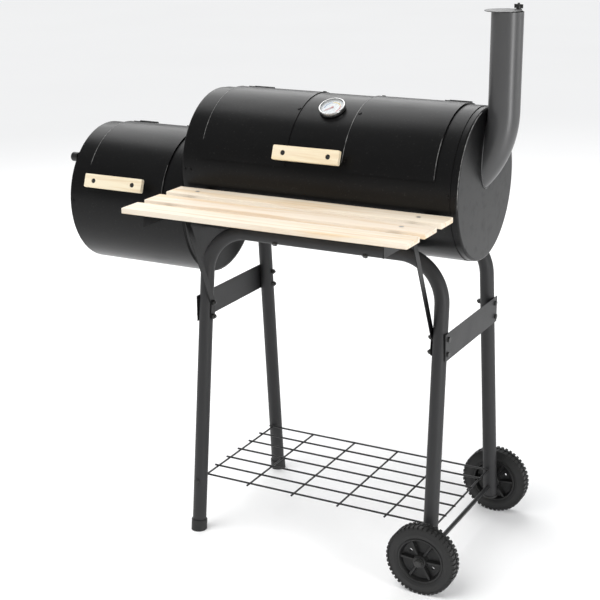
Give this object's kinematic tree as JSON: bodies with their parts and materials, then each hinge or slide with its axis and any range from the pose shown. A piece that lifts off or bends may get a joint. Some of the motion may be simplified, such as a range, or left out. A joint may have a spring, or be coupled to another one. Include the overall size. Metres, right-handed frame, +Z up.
{
  "type": "offset smoker",
  "caption": "Charcoal smoker with a long lidded drum, a lower firebox at one end, a chimney, a slatted wooden shelf and a tube frame on feet and wheels.",
  "frame": {"origin": "on the floor, under the centre of the whole object's bounding box", "axes": "+Z up, +X along the drums towards the chimney, +Y towards the rear, so the wooden shelf and the handles face -Y"},
  "size_m": [1.0644, 0.655, 1.227],
  "materials": {
    "black_paint": "satin black heat-resistant enamel on sheet steel",
    "grey_paint": "dark grey satin powder coat",
    "wire_coat": "black coated steel wire",
    "grate_enamel": "black porcelain enamel on steel wire",
    "zinc_steel": "zinc plated steel",
    "push_nut_steel": "blackened spring steel",
    "pine": "pale softwood, lightly sealed",
    "bezel_steel": "spun stainless steel",
    "dial_white": "white enamelled dial",
    "needle_red": "red painted pointer",
    "dial_glass": "clear glass",
    "wheel_plastic": "black moulded plastic",
    "tyre_plastic": "black moulded plastic with tread",
    "cap_plastic": "black plastic foot caps and plugs",
    "knob_plastic": "black heat-resistant plastic"
  },
  "bodies": {
    "frame_and_drums": {"main_shell": "black_paint", "main_cap_left": "black_paint", "main_cap_right": "black_paint", "fire_shell": "black_paint", "fire_cap_left": "black_paint", "fire_cap_right": "black_paint", "hinge_fixed": "black_paint", "cap_rivets": "black_paint", "saddles": "black_paint", "left_legs": "grey_paint", "right_legs": "grey_paint", "front_corner_tubes": "grey_paint", "rear_corner_tubes": "grey_paint", "top_tubes": "grey_paint", "brace_plates": "grey_paint", "shelf_struts": "grey_paint", "shelf_brackets": "grey_paint", "chimney": "grey_paint", "main_grate_rests": "grey_paint", "fire_grate_rests": "grey_paint", "wire_shelf": "wire_coat", "drum_bolts": "zinc_steel", "brace_bolts": "zinc_steel", "shelf_bolts": "zinc_steel", "slat_screws": "zinc_steel", "axle": "zinc_steel", "axle_fittings": "zinc_steel", "hinge_pins": "zinc_steel", "chimney_cap_screw": "zinc_steel", "damper_rivet": "zinc_steel", "push_nuts": "push_nut_steel", "shelf_slats": "pine", "foot_caps": "cap_plastic"},
    "main_lid": {"main_lid_left": "black_paint", "main_lid_right": "black_paint", "main_lid_strip": "black_paint", "main_lid_rivets": "black_paint", "main_handle": "pine", "main_handle_posts": "zinc_steel", "main_hinge_moving": "black_paint", "thermometer_case": "bezel_steel", "thermometer_dial": "dial_white", "thermometer_glass": "dial_glass", "thermometer_stem": "zinc_steel"},
    "thermometer_pointer": {"thermometer_needle": "needle_red"},
    "firebox_lid": {"fire_lid": "black_paint", "fire_handle": "pine", "fire_handle_posts": "zinc_steel", "fire_hinge_moving": "black_paint"},
    "rain_cap": {"chimney_cap": "grey_paint"},
    "air_damper": {"damper_plate": "black_paint", "damper_knob": "knob_plastic"},
    "front_wheel_body": {"front_wheel": "wheel_plastic", "front_tyre": "tyre_plastic"},
    "rear_wheel_body": {"rear_wheel": "wheel_plastic", "rear_tyre": "tyre_plastic"},
    "cooking_grate_left_body": {"cooking_grate_left": "grate_enamel"},
    "cooking_grate_right_body": {"cooking_grate_right": "grate_enamel"},
    "charcoal_grate_body": {"charcoal_grate": "grate_enamel"},
    "fire_grate_body": {"fire_grate": "grate_enamel"}
  },
  "joints": [
    {"name": "main_lid_hinge", "type": "hinge", "parent": "frame_and_drums", "child": "main_lid", "pos_m": [0.13925, 0.13696, 1.01216], "axis": [-1, 0, 0], "range_deg": [0, 112]},
    {"name": "thermometer_needle_turn", "type": "hinge", "parent": "main_lid", "child": "thermometer_pointer", "pos_m": [0.14525, -0.00747, 1.00722], "axis": [0, 0.4695, -0.8829], "range_deg": [0, 270]},
    {"name": "firebox_lid_hinge", "type": "hinge", "parent": "frame_and_drums", "child": "firebox_lid", "pos_m": [-0.34875, 0.13696, 0.90816], "axis": [-1, 0, 0], "range_deg": [0, 112]},
    {"name": "rain_cap_swivel", "type": "hinge", "parent": "frame_and_drums", "child": "rain_cap", "pos_m": [0.50825, 0.11244, 1.213], "axis": [0, 0, 1], "range_deg": [-110, 17]},
    {"name": "air_damper_swivel", "type": "hinge", "parent": "frame_and_drums", "child": "air_damper", "pos_m": [-0.50225, 0.05946, 0.773], "axis": [-1, 0, 0], "range_deg": [0, 70]},
    {"name": "front_wheel_spin", "type": "hinge", "parent": "frame_and_drums", "child": "front_wheel_body", "pos_m": [0.43184, -0.15121, 0.079], "axis": [0, 1, 0], "continuous": true},
    {"name": "rear_wheel_spin", "type": "hinge", "parent": "frame_and_drums", "child": "rear_wheel_body", "pos_m": [0.43184, 0.29814, 0.079], "axis": [0, 1, 0], "continuous": true},
    {"name": "cooking_grate_left_lift", "type": "slide", "parent": "frame_and_drums", "child": "cooking_grate_left_body", "axis": [0, 0, 1], "range_m": [0, 0.04]},
    {"name": "cooking_grate_right_lift", "type": "slide", "parent": "frame_and_drums", "child": "cooking_grate_right_body", "axis": [0, 0, 1], "range_m": [0, 0.04]},
    {"name": "charcoal_grate_lift", "type": "slide", "parent": "frame_and_drums", "child": "charcoal_grate_body", "axis": [0, 0, 1], "range_m": [0, 0.03]},
    {"name": "fire_grate_lift", "type": "slide", "parent": "frame_and_drums", "child": "fire_grate_body", "axis": [0, 0, 1], "range_m": [0, 0.04]}
  ]
}
